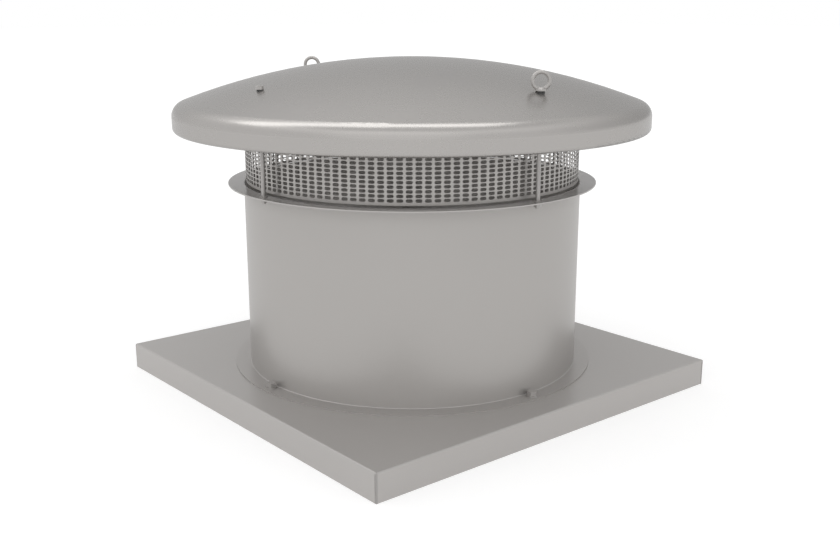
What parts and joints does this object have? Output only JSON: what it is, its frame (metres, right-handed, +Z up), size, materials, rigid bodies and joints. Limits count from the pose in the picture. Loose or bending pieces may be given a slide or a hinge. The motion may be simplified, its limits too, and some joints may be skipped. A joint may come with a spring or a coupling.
{
  "type": "roof exhaust fan",
  "caption": "Axial roof exhaust fan: folded square base, flanged round casing, perforated bird guard and a domed rain hood on tie rods, with a motor-driven impeller inside.",
  "frame": {"origin": "on the fan axis, level with the lower edge of the base's skirt", "axes": "+Z up along the fan axis; X and Y square to the sides of the base"},
  "size_m": [0.989, 0.989, 0.7],
  "materials": {
    "galvanised_sheet": "satin",
    "zinc_steel": "satin",
    "cast_aluminium": "as cast",
    "black_rubber": "matte",
    "blade_polymer": "matte",
    "laminated_steel": "matte",
    "copper_winding": "varnished",
    "gland_plastic": "matte"
  },
  "bodies": {
    "housing": {"base_plate": "galvanised_sheet", "casing": "galvanised_sheet", "hood": "galvanised_sheet", "bird_guard": "galvanised_sheet", "motor_support": "galvanised_sheet", "base_bolts": "zinc_steel", "base_washers": "zinc_steel", "base_nuts": "zinc_steel", "rod_foot_washers": "zinc_steel", "rod_foot_nuts": "zinc_steel", "rod_head_washers": "zinc_steel", "hood_nuts": "zinc_steel", "lifting_eye_1": "zinc_steel", "lifting_eye_2": "zinc_steel", "motor_bolts": "zinc_steel", "shield_screws": "zinc_steel", "lid_screws": "zinc_steel", "drive_end_bearing": "zinc_steel", "rear_bearing": "zinc_steel", "tie_rod_1": "zinc_steel", "tie_rod_2": "zinc_steel", "tie_rod_3": "zinc_steel", "tie_rod_4": "zinc_steel", "motor_housing": "cast_aluminium", "drive_end_shield": "cast_aluminium", "rear_end_shield": "cast_aluminium", "terminal_box": "cast_aluminium", "terminal_lid": "cast_aluminium", "inner_seals": "black_rubber", "outer_seals": "black_rubber", "stator_core": "laminated_steel", "stator_windings": "copper_winding", "cable_gland": "gland_plastic"},
    "rotor": {"motor_shaft": "zinc_steel", "rotor_core": "laminated_steel", "shaft_key": "zinc_steel", "shaft_slinger": "black_rubber", "impeller_hub": "cast_aluminium", "hub_clamp": "cast_aluminium", "hub_bolts": "zinc_steel", "hub_nuts": "zinc_steel", "shaft_end_washer": "zinc_steel", "shaft_end_bolt": "zinc_steel", "blade_1": "blade_polymer", "blade_2": "blade_polymer", "blade_3": "blade_polymer", "blade_4": "blade_polymer", "blade_5": "blade_polymer", "blade_6": "blade_polymer"}
  },
  "joints": [
    {"name": "impeller_spin", "type": "hinge", "parent": "housing", "child": "rotor", "pos_m": [0, 0, 0.165], "axis": [0, 0, 1], "continuous": true}
  ]
}
